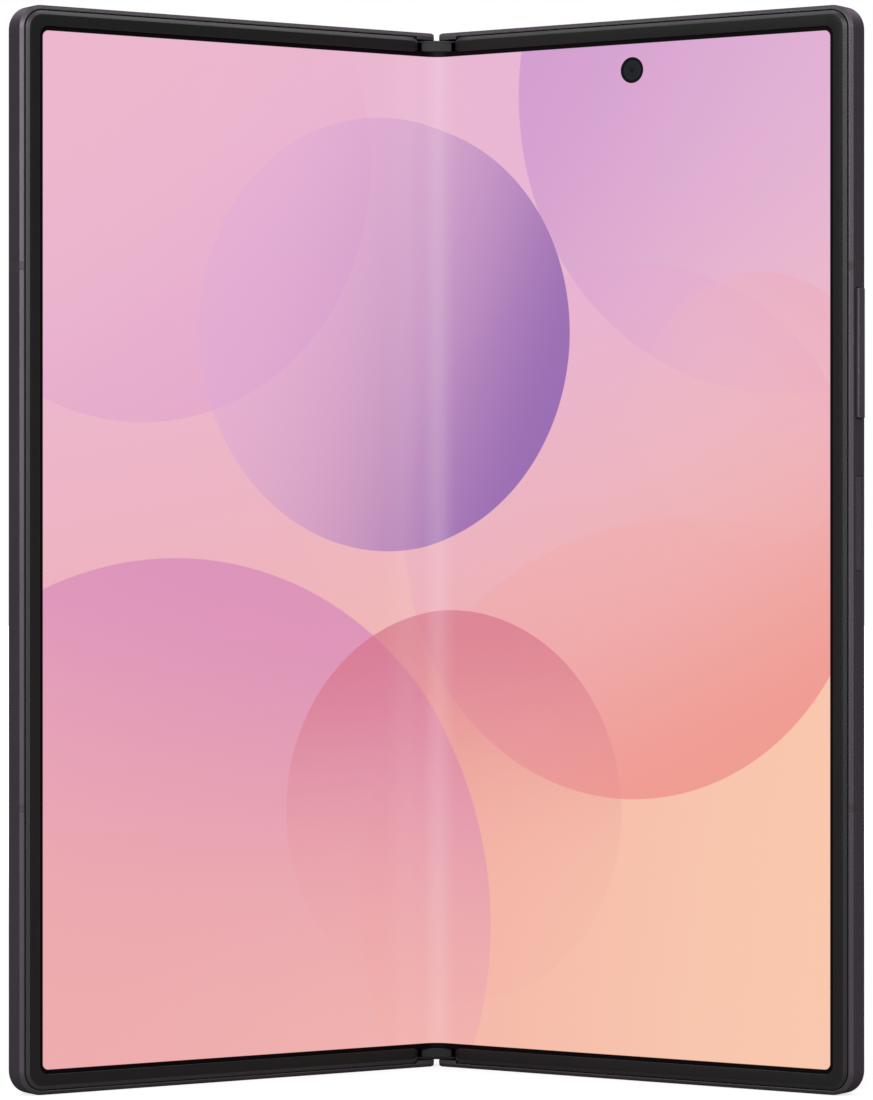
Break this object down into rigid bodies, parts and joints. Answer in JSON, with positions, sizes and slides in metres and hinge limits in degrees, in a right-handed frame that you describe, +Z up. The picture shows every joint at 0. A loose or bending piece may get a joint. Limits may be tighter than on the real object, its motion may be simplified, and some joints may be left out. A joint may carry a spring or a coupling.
{
  "type": "foldable smartphone",
  "caption": "Book-style folding phone, part-open, with a flexible inner display, a geared hinge under a rounded spine, a cover display and a rear camera island.",
  "frame": {"origin": "centre of the posed phone's footprint, on the surface that it stands on", "axes": "+Z up along the hinge, -Y the way the inner display faces, +X to the right as its user sees it"},
  "size_m": [0.1244, 0.0414, 0.1584],
  "materials": {
    "frame_metal": "satin anodised, dark graphite",
    "spine_metal": "satin anodised, dark graphite",
    "key_metal": "satin anodised, dark graphite",
    "bezel_plastic": "soft matte black",
    "display_flexible": "glossy flexible display",
    "black_panel": "black display panel",
    "back_glass": "satin dark glass",
    "lens_glass": "coated lens glass",
    "hinge_steel": "fine ground steel",
    "gear_brass": "machined brass",
    "battery_wrap": "foil pouch in dark wrap",
    "circuit_board": "solder-masked board",
    "flex_film": "polyimide film",
    "camera_black": "black moulded housing",
    "antenna_plastic": "moulded antenna band",
    "ring_metal": "turned ring",
    "flash_lens": "pale diffuser",
    "copper_coil": "enamelled copper winding",
    "speaker_plastic": "black box with mesh",
    "card_plastic": "plain white card"
  },
  "bodies": {
    "spine": {"hinge_spine_cover": "spine_metal", "hinge_end_caps": "bezel_plastic", "hinge_brackets": "hinge_steel", "display_center_support": "hinge_steel", "main_display_fold": "display_flexible", "gear_shafts": "hinge_steel", "detent_springs": "hinge_steel", "detent_cams": "gear_brass", "hinge_rivets": "hinge_steel", "flex_cable_upper": "flex_film", "flex_cable_lower": "flex_film"},
    "left_half": {"left_frame": "frame_metal", "left_bezel": "bezel_plastic", "main_display_left": "display_flexible", "left_display_plate": "hinge_steel", "left_wing_plate": "hinge_steel", "left_rotators": "hinge_steel", "left_battery": "battery_wrap", "left_board": "circuit_board", "cover_display_panel": "black_panel", "cover_glass": "back_glass", "cover_camera": "camera_black", "earpiece": "speaker_plastic", "left_antenna_bands": "antenna_plastic", "left_magnets": "hinge_steel", "left_screws": "hinge_steel"},
    "right_half": {"right_frame": "frame_metal", "right_bezel": "bezel_plastic", "main_display_right": "display_flexible", "right_display_plate": "hinge_steel", "right_wing_plate": "hinge_steel", "right_rotators": "hinge_steel", "right_battery": "battery_wrap", "main_board": "circuit_board", "board_shields": "hinge_steel", "camera_modules": "camera_black", "camera_island": "frame_metal", "camera_rings": "ring_metal", "camera_glass": "lens_glass", "camera_flash": "flash_lens", "rear_glass": "back_glass", "wireless_coil": "copper_coil", "usb_port": "hinge_steel", "usb_tongue": "camera_black", "usb_board": "circuit_board", "loudspeaker": "speaker_plastic", "vibration_motor": "hinge_steel", "inner_camera": "camera_black", "key_switches": "flex_film", "right_antenna_bands": "antenna_plastic", "right_magnets": "hinge_steel", "right_screws": "hinge_steel"},
    "left_sync": {"left_sync_arms": "gear_brass"},
    "right_sync": {"right_sync_arms": "gear_brass"},
    "left_idler": {"left_idler_gears": "gear_brass"},
    "right_idler": {"right_idler_gears": "gear_brass"},
    "volume_key": {"volume_key": "key_metal"},
    "side_key": {"side_key": "key_metal"},
    "sim_tray": {"sim_tray": "key_metal", "sim_card": "card_plastic"}
  },
  "joints": [
    {"name": "left_fold", "type": "hinge", "parent": "spine", "child": "left_half", "pos_m": [-0.00087, 0.01757, 0], "axis": [0, 0, 1], "range_deg": [-32.5, 57.5], "deforming": ["main_display_fold", "flex_cable_upper", "flex_cable_lower"]},
    {"name": "right_fold", "type": "hinge", "parent": "spine", "child": "right_half", "pos_m": [0.00087, 0.01757, 0], "axis": [0, 0, 1], "range_deg": [-57.5, 32.5], "deforming": ["main_display_fold", "flex_cable_upper", "flex_cable_lower"]},
    {"name": "left_sync_turn", "type": "hinge", "parent": "spine", "child": "left_sync", "pos_m": [-0.0015, 0.01897, 0], "axis": [0, 0, 1], "range_deg": [-33, 58]},
    {"name": "right_sync_turn", "type": "hinge", "parent": "spine", "child": "right_sync", "pos_m": [0.0015, 0.01897, 0], "axis": [0, 0, 1], "range_deg": [-58, 33]},
    {"name": "left_idler_turn", "type": "hinge", "parent": "spine", "child": "left_idler", "pos_m": [-0.0005, 0.01897, 0], "axis": [0, 0, 1], "range_deg": [-58, 33]},
    {"name": "right_idler_turn", "type": "hinge", "parent": "spine", "child": "right_idler", "pos_m": [0.0005, 0.01897, 0], "axis": [0, 0, 1], "range_deg": [-33, 58]},
    {"name": "volume_key_rock", "type": "hinge", "parent": "right_half", "child": "volume_key", "pos_m": [0.06054, -0.01855, 0.1078], "axis": [0.5373, 0.8434, 0], "range_deg": [-1, 1], "stiffness_Nm_per_rad": 0.6},
    {"name": "side_key_press", "type": "slide", "parent": "right_half", "child": "side_key", "axis": [-0.8434, 0.5373, 0], "range_m": [0, 0.0002], "stiffness_N_per_m": 4000},
    {"name": "sim_tray_slide", "type": "slide", "parent": "left_half", "child": "sim_tray", "axis": [0, 0, 1], "range_m": [0, 0.014]}
  ],
  "couplings": [
    {"joint": "right_fold", "follows": "left_fold", "ratio": -1},
    {"joint": "left_sync_turn", "follows": "left_fold", "ratio": 1},
    {"joint": "right_sync_turn", "follows": "left_fold", "ratio": -1},
    {"joint": "left_idler_turn", "follows": "left_fold", "ratio": -1},
    {"joint": "right_idler_turn", "follows": "left_fold", "ratio": 1}
  ]
}
